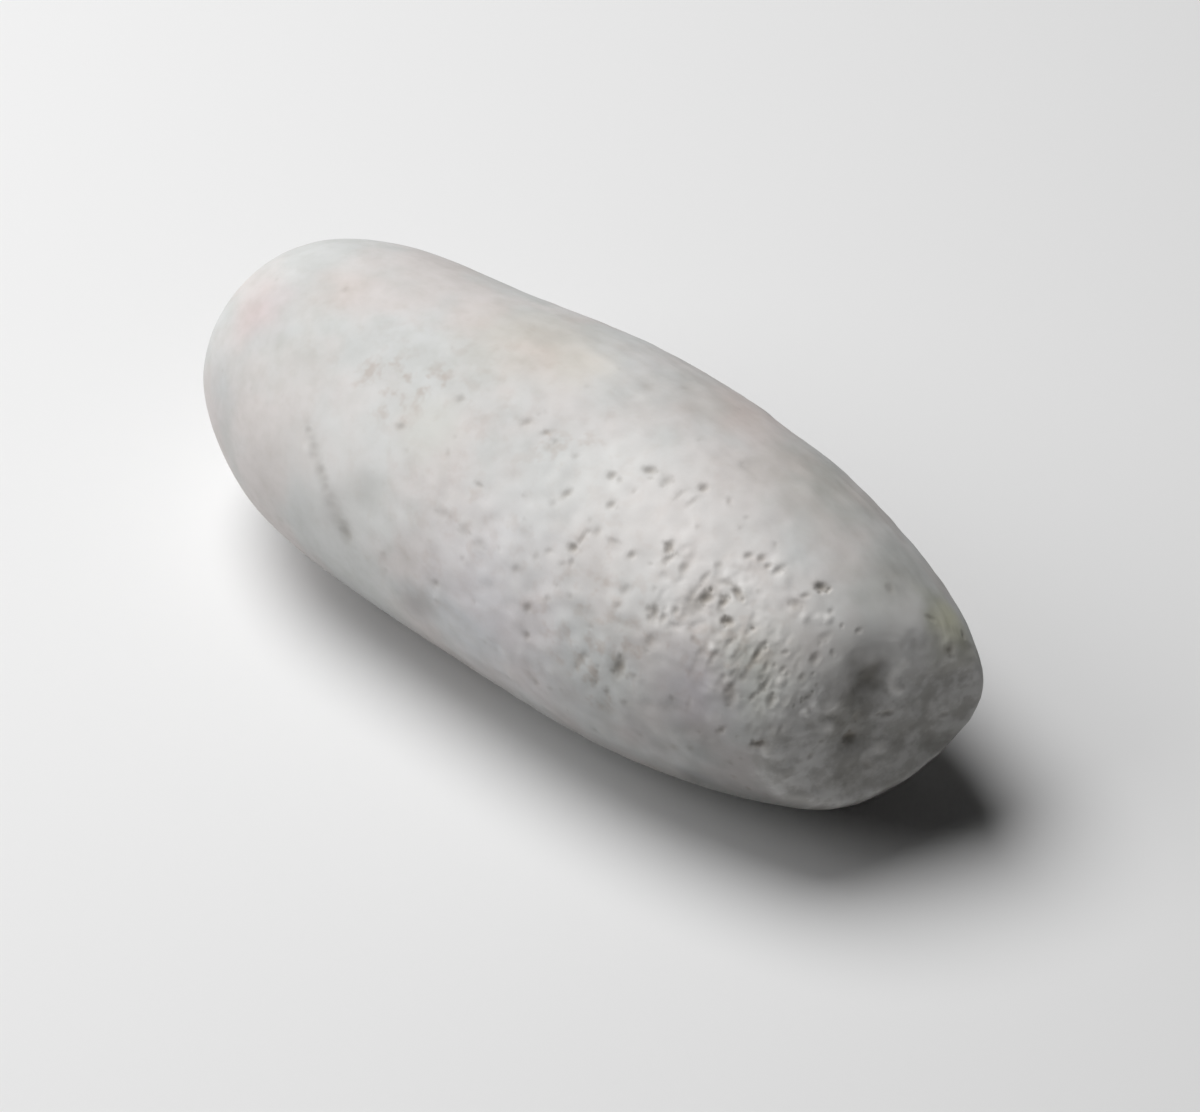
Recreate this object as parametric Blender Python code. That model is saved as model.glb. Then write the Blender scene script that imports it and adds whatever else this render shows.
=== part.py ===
"""A lump of natural chalk, worn smooth into a blunt oval about 81 mm long.

Metres, +Z up. The stone lies along X with its worn grey end towards +X. Its
belly is worn to a small four-sided flat that rests on Z = 0, and the middle of
its outline is over the origin.
"""

import math
import random

import bmesh
import bpy
import numpy as np
from mathutils import Matrix, Vector, noise
from mathutils.bvhtree import BVHTree

MM = 0.001

# The body, in millimetres, as rings across X from the tail to the worn nose:
# place along X, half width, shift sideways, lift above the middle height.
RINGS = (
    (-39.0, 9.0, -0.4, 1.1),
    (-35.5, 12.3, 0.0, 0.9),
    (-28.0, 16.0, -0.5, 0.1),
    (-17.0, 16.7, -0.5, 0.0),
    (-4.0, 18.0, 0.1, 0.4),
    (9.0, 18.1, 0.0, 0.2),
    (21.0, 16.5, -0.3, 0.0),
    (30.0, 13.5, -0.3, 0.0),
    (35.5, 10.9, -0.6, 0.1),
    (38.5, 7.7, -0.2, 1.2),
)
MIDDLE_HEIGHT = 14.4
HEIGHT_TO_WIDTH = 0.94
POINTS_AROUND = 12
# How far each end bulges past its last ring, and the share of that ring's size there.
TAIL_TIP, TAIL_SHARE = -41.6, 0.44
NOSE_TIP, NOSE_SHARE = 44.2, 0.60
SMOOTHING_LEVELS = 2

# Flats worn onto the stone, in degrees and millimetres: azimuth and elevation of
# the way each one faces, its distance from the origin, and half its soft rim.
WORN_END = (-24.9, 7.6, 35.3, 1.6)
WORN_BACK = (83.0, -20.0, 11.3, 1.8)
# The rim of the worn end widens over these heights, and less so towards the back.
UPPER_RIM = 5.2
RIM_WIDENS = (15.0, 24.0)
RIM_NARROWS, NARROWER_BY = (2.0, 8.0), 0.5

# The resting flat's corners on Z = 0, as (along X, across Y), counter-clockwise from
# above. Past each side of it the belly is worn at a low angle, in degrees.
REST_CORNERS = ((-14.5, -4.2), (13.5, -4.8), (13.5, 5.0), (-14.5, 4.3))
BELLY_SLOPE = 3.0
CUT_SLACK = 0.0001

# Broad lumps and hollows of the whole surface.
SWELL_HEIGHT, SWELL_WIDTH = 0.12, 13.0

# Soft dishes: place, radius, depth. A place on the side is (along X, degrees
# around from the top towards the front), and one on the worn end is (across, up).
SIDE_DISHES = (
    ((-11.4, 66), 3.4, 0.20),
    ((-27.5, 8), 4.5, 0.30),
    ((-20.0, -75), 5.0, 0.40),
    ((14.0, -60), 4.5, 0.35),
    ((-25.0, 140), 4.0, 0.30),
)
END_DISHES = (
    ((-3.5, 21.0), 3.4, 0.70),
    ((-5.5, 14.6), 2.2, 0.45),
    ((1.0, 11.4), 3.5, 0.25),
)

# Pits: place, length, width, turn of the length from X round the stone in
# degrees, and depth.
LARGE_PITS = (
    ((22.0, 40), 2.6, 1.6, 70, 1.0),
    ((23.5, 36), 1.9, 0.8, 100, 0.6),
    ((24.5, 33), 1.8, 0.8, 140, 0.6),
    ((24.8, 41), 1.4, 1.0, 40, 0.9),
    ((29.2, 12), 1.4, 1.0, 40, 0.9),
    ((17.1, 31), 1.3, 1.0, 110, 0.7),
    ((18.8, 49), 1.3, 0.9, 110, 0.6),
    ((20.1, 50), 1.2, 0.9, 60, 0.5),
    ((17.8, 72), 3.0, 1.2, 87, 0.8),
    ((7.9, 69), 1.3, 0.9, 80, 0.5),
    ((30.5, 80), 2.4, 1.1, 40, 0.7),
    ((28.3, 49), 3.4, 0.9, 87, 0.5),
    ((30.6, 60), 2.2, 1.0, 105, 0.6),
    ((27.6, 65), 1.6, 1.0, 95, 0.5),
    ((32.0, 37), 1.6, 1.0, 80, 0.4),
)
SMALL_PITS = (
    ((9.6, 46), 1.0, 0.9, 60, 0.6),
    ((6.6, 33), 1.1, 0.8, 75, 0.4),
    ((9.0, 21), 1.1, 1.0, 60, 0.5),
    ((11.4, 12), 1.8, 0.9, 35, 0.6),
    ((16.0, 9), 1.4, 0.9, 75, 0.5),
    ((-0.8, 20), 1.5, 0.9, 50, 0.4),
    ((1.6, 21), 1.4, 0.8, 45, 0.4),
    ((-7.6, 24), 0.9, 0.8, 60, 0.4),
    ((-11.1, 41), 1.1, 0.8, 20, 0.4),
    ((23.1, 18), 1.0, 0.8, 60, 0.5),
    ((24.3, 16), 1.1, 0.8, 75, 0.5),
    ((26.0, 17), 1.3, 0.8, 75, 0.4),
    ((17.7, 35), 1.5, 0.8, 75, 0.4),
    ((14.7, 39), 0.9, 0.8, 60, 0.4),
    ((8.4, 78), 1.0, 0.8, 90, 0.4),
)
END_PITS = (
    ((-3.9, 20.8), 2.2, 1.3, 110, 0.7),
    ((-5.5, 14.4), 1.2, 1.1, 0, 0.9),
    ((-2.4, 16.0), 1.7, 0.7, 0, 0.4),
    ((-4.4, 11.0), 1.4, 0.7, 135, 0.4),
    ((3.6, 20.3), 1.0, 0.9, 0, 0.5),
)

# Pits on the sides that lie away from the front, strewn at random.
STREWN_PITS = 30
STREWN_SEED = 7
STREWN_ALONG = (-32.0, 31.0)
STREWN_AROUND = (130.0, 305.0)
STREWN_LENGTH = (0.9, 2.2)
STREWN_GAP = 3.0
LOWEST_NORMAL = -0.92

# A pit is the lower part of an egg-shaped cutter whose middle is above the surface.
CUTTER_RAISE = 0.3
CUTTER_DEPTH = 1.0 - CUTTER_RAISE
CUTTER_WAIST = math.sqrt(1.0 - CUTTER_RAISE**2)

CHALK_COLOUR = (0.72, 0.70, 0.67, 1.0)
CHALK_ROUGHNESS = 0.92


def clear_scene():
    for thing in list(bpy.data.objects):
        bpy.data.objects.remove(thing, do_unlink=True)


def ring_of_points(cage, along, half_width, sideways, lift):
    """One ring of the cage, starting half a step round from +Y."""
    ring = []
    for step in range(POINTS_AROUND):
        angle = math.tau * (step + 0.5) / POINTS_AROUND
        across = sideways + half_width * math.cos(angle)
        up = MIDDLE_HEIGHT + lift + half_width * HEIGHT_TO_WIDTH * math.sin(angle)
        ring.append(cage.verts.new((along, across, up)))
    return ring


def close_end(cage, ring, tip, share):
    """Fills a ring with a three by three patch whose middle face is at the tip."""
    middle = sum((point.co for point in ring), Vector()) / POINTS_AROUND
    inner = []
    for quarter in range(4):
        corner = middle.lerp(ring[3 * quarter + 1].co, share)
        inner.append(cage.verts.new((tip, corner.y, corner.z)))
    for quarter in range(4):
        at = 3 * quarter + 1
        first = ring[(at + 1) % POINTS_AROUND]
        second = ring[(at + 2) % POINTS_AROUND]
        cage.faces.new((ring[at], first, inner[quarter], ring[at - 1]))
        cage.faces.new((first, second, inner[(quarter + 1) % 4], inner[quarter]))
    cage.faces.new(inner)


def build_cage():
    """The coarse cage of the stone: rings joined by four-sided faces, closed at both ends."""
    cage = bmesh.new()
    rings = [ring_of_points(cage, *ring) for ring in RINGS]
    for ring, following in zip(rings, rings[1:]):
        for step in range(POINTS_AROUND):
            beside = (step + 1) % POINTS_AROUND
            cage.faces.new((ring[step], following[step], following[beside], ring[beside]))
    close_end(cage, rings[0], TAIL_TIP, TAIL_SHARE)
    close_end(cage, rings[-1], NOSE_TIP, NOSE_SHARE)
    bmesh.ops.recalc_face_normals(cage, faces=cage.faces)
    bmesh.ops.scale(cage, vec=(MM, MM, MM), verts=cage.verts)
    mesh = bpy.data.meshes.new("chalk_stone")
    cage.to_mesh(mesh)
    cage.free()
    return mesh


def smooth_cage(stone):
    """Rounds the cage with a subdivision surface and keeps the rounded mesh."""
    rounding = stone.modifiers.new("rounding", "SUBSURF")
    rounding.levels = SMOOTHING_LEVELS
    rounding.render_levels = SMOOTHING_LEVELS
    graph = bpy.context.evaluated_depsgraph_get()
    rounded = bpy.data.meshes.new_from_object(stone.evaluated_get(graph))
    stone.modifiers.clear()
    stone.data = rounded
    rounded.name = "chalk_stone"


def read_points(mesh):
    """The mesh's points in millimetres."""
    flat = np.empty(len(mesh.vertices) * 3)
    mesh.vertices.foreach_get("co", flat)
    return flat.reshape(-1, 3) / MM


def write_points(mesh, points):
    mesh.vertices.foreach_set("co", (points * MM).ravel())
    mesh.update()


def facing(azimuth, elevation):
    """The unit vector of an azimuth from +X and an elevation, in degrees."""
    turn, rise = math.radians(azimuth), math.radians(elevation)
    return np.array(
        (
            math.cos(turn) * math.cos(rise),
            math.sin(turn) * math.cos(rise),
            math.sin(rise),
        )
    )


def soft_step(values, low, high):
    """Rises from 0 at low to 1 at high, with soft ends."""
    share = np.clip((values - low) / (high - low), 0, 1)
    return share * share * (3 - 2 * share)


def end_rim(points):
    """Half the worn end's soft rim at each point: wide at the top, less so at the back."""
    upper = soft_step(points[:, 2], *RIM_WIDENS)
    upper *= 1 - NARROWER_BY * soft_step(points[:, 1], *RIM_NARROWS)
    return WORN_END[3] + (UPPER_RIM - WORN_END[3]) * upper


def wear_flat(points, normal, distance, rim):
    """Brings what stands past a plane back to it, with a soft rim on either side."""
    past = points @ normal - distance
    eased = past - (past + rim) ** 2 / (4 * rim)
    worn = np.where(past < -rim, past, np.where(past < rim, eased, 0.0))
    return points + np.outer(worn - past, normal)


def swell(mesh, points):
    """Lifts and lowers the surface a little in broad lumps."""
    normals = np.array([point.normal for point in mesh.vertices])
    heights = [noise.noise(Vector(point / SWELL_WIDTH)) for point in points]
    return points + SWELL_HEIGHT * np.array(heights)[:, None] * normals


def surface_of(mesh):
    """A search tree of the mesh in millimetres."""
    points = [point.co / MM for point in mesh.vertices]
    return BVHTree.FromPolygons(points, [face.vertices for face in mesh.polygons])


def place_on_side(surface, along, around):
    """The surface's point and normal at a place along X and degrees around from the top."""
    turn = math.radians(around)
    outward = Vector((0.0, -math.sin(turn), math.cos(turn)))
    point, normal, _, _ = surface.ray_cast(Vector((along, 0.0, MIDDLE_HEIGHT)), outward)
    return point, normal


def place_on_end(surface, across, up):
    """The worn end's point and normal at a place across and up."""
    point, normal, _, _ = surface.ray_cast(Vector((NOSE_TIP * 2, across, up)), Vector((-1, 0, 0)))
    return point, normal


def all_places(surface, side, end):
    """Each row of the two lists with its place turned into a point and a normal."""
    found = [(place_on_side(surface, *row[0]), row[1:]) for row in side]
    return found + [(place_on_end(surface, *row[0]), row[1:]) for row in end]


def press_dishes(mesh, points):
    """Presses the soft dishes into the surface."""
    places = all_places(surface_of(mesh), SIDE_DISHES, END_DISHES)
    for (centre, normal), (radius, depth) in places:
        apart = np.linalg.norm(points - np.array(centre), axis=1) / radius
        share = np.clip(1.0 - apart**2, 0.0, None) ** 2
        points = points - depth * np.outer(share, np.array(normal))
    return points


def centre_outline(points):
    """Puts the middle of the outline, seen from above, over the origin."""
    middle = (points.min(axis=0) + points.max(axis=0)) / 2
    return points - np.array((middle[0], middle[1], 0.0))


def cut_and_fill(mesh, place, normal):
    """Takes away what stands past a plane, and closes the cut with one flat face."""
    cut = bmesh.ops.bisect_plane(
        mesh,
        geom=mesh.verts[:] + mesh.edges[:] + mesh.faces[:],
        dist=CUT_SLACK * MM,
        plane_co=place * MM,
        plane_no=normal,
        clear_outer=True,
    )
    edges = [part for part in cut["geom_cut"] if isinstance(part, bmesh.types.BMEdge)]
    bmesh.ops.edgeloop_fill(mesh, edges=edges)


def flatten_belly(mesh):
    """Cuts the resting flat and the four low slopes that run up from its sides."""
    belly = bmesh.new()
    belly.from_mesh(mesh)
    cut_and_fill(belly, Vector((0, 0, 0)), Vector((0, 0, -1)))
    corners = [Vector((along, across, 0.0)) for along, across in REST_CORNERS]
    slope = math.radians(BELLY_SLOPE)
    for corner, following in zip(corners, corners[1:] + corners[:1]):
        side = (following - corner).normalized()
        outward = Vector((side.y, -side.x, 0.0))
        cut_and_fill(belly, corner, outward * math.sin(slope) - Vector((0, 0, math.cos(slope))))
    bmesh.ops.recalc_face_normals(belly, faces=belly.faces)
    belly.to_mesh(mesh)
    belly.free()


def shape_stone(stone):
    """Wears, swells and dents the rounded cage into the stone, and flattens its belly."""
    mesh = stone.data
    points = read_points(mesh)
    points = wear_flat(points, facing(*WORN_END[:2]), WORN_END[2], end_rim(points))
    points = wear_flat(points, facing(*WORN_BACK[:2]), *WORN_BACK[2:])
    write_points(mesh, points)
    points = centre_outline(swell(mesh, points))
    write_points(mesh, points)
    write_points(mesh, press_dishes(mesh, points))
    flatten_belly(mesh)


def strewn_pits(surface):
    """Random pits on the hidden sides, clear of each other and of the resting flat."""
    chance = random.Random(STREWN_SEED)
    found = []
    while len(found) < STREWN_PITS:
        along = chance.uniform(*STREWN_ALONG)
        around = chance.uniform(*STREWN_AROUND)
        length = STREWN_LENGTH[0] + (STREWN_LENGTH[1] - STREWN_LENGTH[0]) * chance.random() ** 2
        width = max(0.8, length * chance.uniform(0.5, 0.9))
        turn = chance.gauss(90, 30)
        depth = width * chance.uniform(0.4, 0.65)
        centre, normal = place_on_side(surface, along, around)
        crowded = any((centre - other).length < STREWN_GAP for (other, _), _ in found)
        if normal.z > LOWEST_NORMAL and not crowded:
            found.append(((centre, normal), (length, width, turn, depth)))
    return found


def cutter_frame(centre, normal, length, width, turn, depth):
    """The matrix that turns a unit sphere into a pit's cutter, in metres."""
    tangent = Vector((1, 0, 0)) - normal * normal.x
    tangent.normalize()
    sideways = normal.cross(tangent)
    turned = math.radians(turn)
    long_axis = tangent * math.cos(turned) + sideways * math.sin(turned)
    half_depth = depth / CUTTER_DEPTH
    axes = Matrix((long_axis, normal.cross(long_axis), normal)).transposed().to_4x4()
    size = Matrix.Diagonal((length / 2 / CUTTER_WAIST, width / 2 / CUTTER_WAIST, half_depth, 1))
    middle = centre + normal * half_depth * CUTTER_RAISE
    return Matrix.Scale(MM, 4) @ Matrix.Translation(middle) @ axes @ size


def build_cutters(surface):
    """All the pits' cutters, as one object that only shows as wires."""
    places = all_places(surface, LARGE_PITS + SMALL_PITS, END_PITS) + strewn_pits(surface)
    cutters = bmesh.new()
    for (centre, normal), sizes in places:
        frame = cutter_frame(centre, normal, *sizes)
        bmesh.ops.create_icosphere(cutters, subdivisions=2, radius=1.0, matrix=frame)
    mesh = bpy.data.meshes.new("pit_cutters")
    cutters.to_mesh(mesh)
    cutters.free()
    mesh.shade_smooth()
    holder = bpy.data.objects.new("pit_cutters", mesh)
    holder.hide_render = True
    holder.display_type = "WIRE"
    bpy.context.scene.collection.objects.link(holder)
    return holder


def cut_pits(stone):
    """Cuts the pits out of the stone with a live Boolean, on a mesh of triangles."""
    mesh = bmesh.new()
    mesh.from_mesh(stone.data)
    bmesh.ops.triangulate(mesh, faces=mesh.faces)
    mesh.to_mesh(stone.data)
    mesh.free()
    pits = stone.modifiers.new("pits", "BOOLEAN")
    pits.operation = "DIFFERENCE"
    pits.solver = "EXACT"
    pits.use_self = True
    pits.object = build_cutters(surface_of(stone.data))


def chalk_material():
    """Soft white chalk: matt all over, a little warm."""
    chalk = bpy.data.materials.new("chalk")
    chalk.use_nodes = True
    shader = chalk.node_tree.nodes["Principled BSDF"]
    shader.inputs["Base Color"].default_value = CHALK_COLOUR
    shader.inputs["Roughness"].default_value = CHALK_ROUGHNESS
    shader.inputs["Metallic"].default_value = 0.0
    chalk.diffuse_color = CHALK_COLOUR
    return chalk


def build_chalk_stone():
    """The whole stone: one solid, pits and flats included."""
    stone = bpy.data.objects.new("chalk_stone", build_cage())
    bpy.context.scene.collection.objects.link(stone)
    smooth_cage(stone)
    shape_stone(stone)
    stone.data.shade_smooth()
    stone.data.materials.append(chalk_material())
    cut_pits(stone)
    return stone


clear_scene()
build_chalk_stone()
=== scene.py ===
# %% [markdown]
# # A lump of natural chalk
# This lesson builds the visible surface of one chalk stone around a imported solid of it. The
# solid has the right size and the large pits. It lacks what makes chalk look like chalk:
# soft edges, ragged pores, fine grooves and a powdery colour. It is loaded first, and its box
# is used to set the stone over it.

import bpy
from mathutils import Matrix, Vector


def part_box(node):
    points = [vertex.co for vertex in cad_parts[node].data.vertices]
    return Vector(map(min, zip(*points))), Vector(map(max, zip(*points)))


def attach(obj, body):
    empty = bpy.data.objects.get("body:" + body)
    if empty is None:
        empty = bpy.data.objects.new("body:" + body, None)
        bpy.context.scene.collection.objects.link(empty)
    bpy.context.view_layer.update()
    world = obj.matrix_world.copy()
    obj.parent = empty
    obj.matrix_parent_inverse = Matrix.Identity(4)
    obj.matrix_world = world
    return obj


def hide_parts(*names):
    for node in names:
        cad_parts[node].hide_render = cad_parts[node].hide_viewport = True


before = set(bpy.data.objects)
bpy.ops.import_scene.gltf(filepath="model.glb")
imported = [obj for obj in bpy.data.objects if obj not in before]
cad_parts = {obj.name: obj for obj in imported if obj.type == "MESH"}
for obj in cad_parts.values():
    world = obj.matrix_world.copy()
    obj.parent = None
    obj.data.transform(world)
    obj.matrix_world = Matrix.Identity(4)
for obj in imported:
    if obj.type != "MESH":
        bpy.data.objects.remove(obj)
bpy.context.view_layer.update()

# %% [markdown]
# ## Tools and units
# Sizes are written in millimetres, as measured on a bench, and Blender's metres are reached
# through one factor. Two small helpers do what a hand does before each step: make one object
# the active one, and select points of a mesh by where they are.

# %% Units and selection helpers
import math
import random

import bmesh
import bpy
import numpy as np
from mathutils import Vector, noise
from mathutils.bvhtree import BVHTree

MM = 0.001
MM_PER_METRE = 1000


def work_on(thing):
    """Makes this object the active one, with nothing else selected."""
    if bpy.context.mode != "OBJECT":
        bpy.ops.object.mode_set(mode="OBJECT")
    bpy.ops.object.select_all(action="DESELECT")
    thing.select_set(True)
    bpy.context.view_layer.objects.active = thing


def select_points(thing, wanted):
    """Selects, in edit mode, the points that the rule wants, and the faces between them."""
    bpy.ops.mesh.select_mode(type="VERT")
    bpy.ops.mesh.select_all(action="DESELECT")
    mesh = bmesh.from_edit_mesh(thing.data)
    chosen = 0
    for point in mesh.verts:
        if wanted(point.co / MM):
            point.select_set(True)
            chosen += 1
    mesh.select_flush(True)
    bmesh.update_edit_mesh(thing.data)
    return chosen


bpy.ops.object.select_all(action="DESELECT")
print("one unit is", MM_PER_METRE, "mm")

# %% [markdown]
# ## The cage
# The stone is an oval that the sea rolled smooth, a little flatter than it is wide. The points
# of a stretched sphere would crowd at its poles and give no control over how blunt each end
# is. So it starts as a circle of twelve points that is extruded from ring to ring, each
# scaled to the stone's width there. A subdivision surface rounds this cage afterwards.

# %% Extrude the rings of the cage
# Place along X, half width, shift sideways, lift above the middle height.
RINGS = (
    (-39.0, 9.0, -0.4, 1.1), (-35.5, 12.3, 0.0, 0.9), (-28.0, 16.0, -0.5, 0.1),
    (-17.0, 16.7, -0.5, 0.0), (-4.0, 18.0, 0.1, 0.4), (9.0, 18.1, 0.0, 0.2),
    (21.0, 16.5, -0.3, 0.0), (30.0, 13.5, -0.3, 0.0), (35.5, 10.9, -0.6, 0.1),
    (38.5, 7.7, -0.2, 1.2),
)
MIDDLE_HEIGHT = 14.4
HEIGHT_TO_WIDTH = 0.94
POINTS_AROUND = 12


def ring_middle(ring):
    along, _, sideways, lift = ring
    return Vector((along, sideways, MIDDLE_HEIGHT + lift)) * MM


first = RINGS[0]
bpy.ops.mesh.primitive_circle_add(
    vertices=POINTS_AROUND, radius=MM, location=ring_middle(first), rotation=(0, math.pi / 2, 0)
)
stone = bpy.context.object
stone.name = "worn_chalk"
stone.data.name = "worn_chalk"
bpy.ops.object.transform_apply(location=True, rotation=True, scale=True)
work_on(stone)
bpy.ops.object.mode_set(mode="EDIT")
bpy.ops.mesh.select_all(action="SELECT")
half_step = math.pi / POINTS_AROUND
middle = ring_middle(first)
bpy.ops.transform.rotate(value=half_step, orient_axis="X", center_override=middle)
grow = first[1]
bpy.ops.transform.resize(value=(1, grow, grow * HEIGHT_TO_WIDTH), center_override=middle)
for before, ring in zip(RINGS, RINGS[1:]):
    step = ring_middle(ring) - ring_middle(before)
    bpy.ops.mesh.extrude_edges_move(TRANSFORM_OT_translate={"value": step})
    grow = ring[1] / before[1]
    bpy.ops.transform.resize(value=(1, grow, grow), center_override=ring_middle(ring))
bpy.ops.object.mode_set(mode="OBJECT")
print("open cage:", len(stone.data.vertices), "points,", len(stone.data.polygons), "faces")

# %% [markdown]
# ## Closing the ends
# A fan of triangles would pinch at its pole when it is rounded. Grid fill lays a patch of
# three by three faces into the ring of twelve points instead. The patch's four inner points
# are then pulled out to the tip. How far they go and close in sets how blunt that end is.

# %% Fill both ends and pull out the tips
TAIL_TIP, TAIL_SHARE = -41.6, 0.44
NOSE_TIP, NOSE_SHARE = 44.2, 0.60
PLACE_SLACK = 0.01
# The patch's inner points lie within this share of the half width from the middle.
INNER_REACH = 0.7


def close_end(ring, tip, share):
    """Fills the ring with a patch and moves the patch's inner points out to the tip."""
    along, half_width = ring[0], ring[1]
    middle = ring_middle(ring)
    bpy.ops.object.mode_set(mode="EDIT")
    select_points(stone, lambda place: abs(place.x - along) < PLACE_SLACK)
    mesh = bmesh.from_edit_mesh(stone.data)
    corner = Vector((0, 1, HEIGHT_TO_WIDTH))
    rim = [point for point in mesh.verts if point.select]
    start = max(rim, key=lambda point: (point.co - middle).dot(corner))
    mesh.select_history.add(start)
    bpy.ops.mesh.fill_grid(span=POINTS_AROUND // 4)
    reach = INNER_REACH * half_width

    def is_inner(place):
        return abs(place.x - along) < PLACE_SLACK and (place - middle / MM).length < reach

    count = select_points(stone, is_inner)
    mesh = bmesh.from_edit_mesh(stone.data)
    inner = [point.co for point in mesh.verts if point.select]
    spread = sum(abs(co.y - middle.y) for co in inner) / len(inner) / MM
    wanted = share * half_width * math.cos(math.pi / 4)
    grow = wanted / spread
    bpy.ops.transform.resize(value=(1, grow, grow), center_override=middle)
    bpy.ops.transform.translate(value=((tip - along) * MM, 0, 0))
    bpy.ops.object.mode_set(mode="OBJECT")
    print("end at", tip, "mm:", count, "inner points, scaled by", round(grow, 2))


close_end(RINGS[0], TAIL_TIP, TAIL_SHARE)
close_end(RINGS[-1], NOSE_TIP, NOSE_SHARE)
bpy.ops.object.mode_set(mode="EDIT")
bpy.ops.mesh.select_all(action="SELECT")
bpy.ops.mesh.normals_make_consistent(inside=False)
bpy.ops.object.mode_set(mode="OBJECT")
print("closed cage:", len(stone.data.vertices), "points,", len(stone.data.polygons), "faces")

# %% [markdown]
# ## Rounding
# A Subdivision Surface rounds the cage. Four levels leave faces about half a millimetre wide,
# which is fine enough for the broad form. Finer faces are added later, only where there is
# something small to shape.

# %% Round the cage
ROUNDING_LEVELS = 4

work_on(stone)
bpy.ops.object.modifier_add(type="SUBSURF")
rounding = stone.modifiers[-1]
rounding.levels = ROUNDING_LEVELS
rounding.render_levels = ROUNDING_LEVELS
bpy.ops.object.modifier_apply(modifier=rounding.name)
print("rounded:", len(stone.data.polygons), "faces")

# %% [markdown]
# ## Worn flats
# Rolling on a beach wore two flats onto the stone: one across its nose, whose grey is partly
# its own and partly painted shade, and a broad one low on its back. A bisect would cut them
# with a hard edge, and a stone has none. So every point past a plane is moved back to it, and
# the points just before it are eased, which leaves a soft rim. The worn end runs into the top
# more gently than into the sides, so its rim widens with height, less so at the back.

# %% Wear the end and the back
# Azimuth and elevation of the way a flat faces, its distance from the origin, half its rim.
WORN_END = (-24.9, 7.6, 35.3, 1.6)
WORN_BACK = (83.0, -20.0, 11.3, 1.8)
UPPER_RIM = 5.9
RIM_WIDENS = (15.0, 24.0)
RIM_NARROWS, NARROWER_BY = (2.0, 8.0), 0.5


def read(parts, name):
    """One row of three numbers for each point or face of a mesh."""
    flat = np.empty(len(parts) * 3)
    parts.foreach_get(name, flat)
    return flat.reshape(-1, 3)


def read_points(thing):
    return read(thing.data.vertices, "co") / MM


def write_points(thing, points):
    thing.data.vertices.foreach_set("co", (points * MM).ravel())
    thing.data.update()


def facing(azimuth, elevation):
    """The unit vector of an azimuth from +X and an elevation, in degrees."""
    turn, rise = math.radians(azimuth), math.radians(elevation)
    level = math.cos(rise)
    return np.array((math.cos(turn) * level, math.sin(turn) * level, math.sin(rise)))


def soft_step(values, low, high):
    """Rises from 0 at low to 1 at high, with soft ends."""
    share = np.clip((values - low) / (high - low), 0, 1)
    return share * share * (3 - 2 * share)


def wear_flat(points, normal, distance, rim):
    """Brings what stands past a plane back to it, with a soft rim on either side."""
    past = points @ normal - distance
    eased = past - (past + rim) ** 2 / (4 * rim)
    worn = np.where(past < -rim, past, np.where(past < rim, eased, 0.0))
    return points + np.outer(worn - past, normal)


points = read_points(stone)
upper = soft_step(points[:, 2], *RIM_WIDENS)
upper *= 1 - NARROWER_BY * soft_step(points[:, 1], *RIM_NARROWS)
end_rim = WORN_END[3] + (UPPER_RIM - WORN_END[3]) * upper
worn = wear_flat(points, facing(*WORN_END[:2]), WORN_END[2], end_rim)
print("end worn back by up to", round(np.abs(worn - points).max(), 2), "mm")
worn = wear_flat(worn, facing(*WORN_BACK[:2]), *WORN_BACK[2:])
write_points(stone, worn)

# %% [markdown]
# ## Broad lumps
# No worn stone is a perfect oval. Noise lifts and lowers the surface by an eighth of a
# millimetre in lumps as wide as a fingertip. Wearing the end has shifted the stone's box, so
# the stone is then moved over the middle of the solid.

# %% Swell the surface
SWELL_HEIGHT, SWELL_WIDTH = 0.12, 13.0


def noise_over(points, width, shift=0.0):
    """Noise from -1 to 1 in lumps of a width in mm; another shift gives other lumps."""
    return np.array([noise.noise(place) for place in (points / width + shift).tolist()])


points = read_points(stone)
normals = read(stone.data.vertex_normals, "vector")
points = points + SWELL_HEIGHT * noise_over(points, SWELL_WIDTH)[:, None] * normals
cad_middle = np.sum(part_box("chalk_stone"), axis=0) / 2 / MM
own_middle = (points.min(axis=0) + points.max(axis=0)) / 2
shift = (cad_middle - own_middle) * (1, 1, 0)
write_points(stone, points + shift)
print("moved over the solid by", np.round(shift, 2), "mm")

# %% [markdown]
# ## Soft dents
# A few soft dents are pressed in where the real stone has them. A place on the side is given
# by millimetres along the stone and degrees around it from the top, and one on the worn end
# by how far across and how high. A ray then finds the surface there.

# %% Press the soft dents in
# Place, radius and depth.
SIDE_DISHES = (
    (-11.4, 66, 4.0, 0.20), (-27.5, 8, 5.4, 0.30), (-20.0, -75, 6.0, 0.40), (14.0, -60, 5.4, 0.35),
    (-25.0, 140, 4.8, 0.30),
)
END_DISHES = ((-3.2, 20.4, 4.1, 0.75), (-5.5, 14.6, 2.6, 0.45), (1.0, 11.4, 4.2, 0.25))
# The higher this power is, the more softly a dent starts.
DISH_SOFTNESS = 3


def surface_of(thing):
    """A search tree of the surface in millimetres."""
    places = [point.co / MM for point in thing.data.vertices]
    return BVHTree.FromPolygons(places, [face.vertices for face in thing.data.polygons])


def place_on_side(surface, along, around):
    turn = math.radians(around)
    outward = Vector((0.0, -math.sin(turn), math.cos(turn)))
    return surface.ray_cast(Vector((along, 0.0, MIDDLE_HEIGHT)), outward)[:2]


def place_on_end(surface, across, up):
    return surface.ray_cast(Vector((NOSE_TIP * 2, across, up)), Vector((-1, 0, 0)))[:2]


def placed(rows, find):
    """A table's rows, with each place made a point and the way the surface faces there."""
    return [(*find(surface, *row[:2]), *row[2:]) for row in rows]


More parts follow.
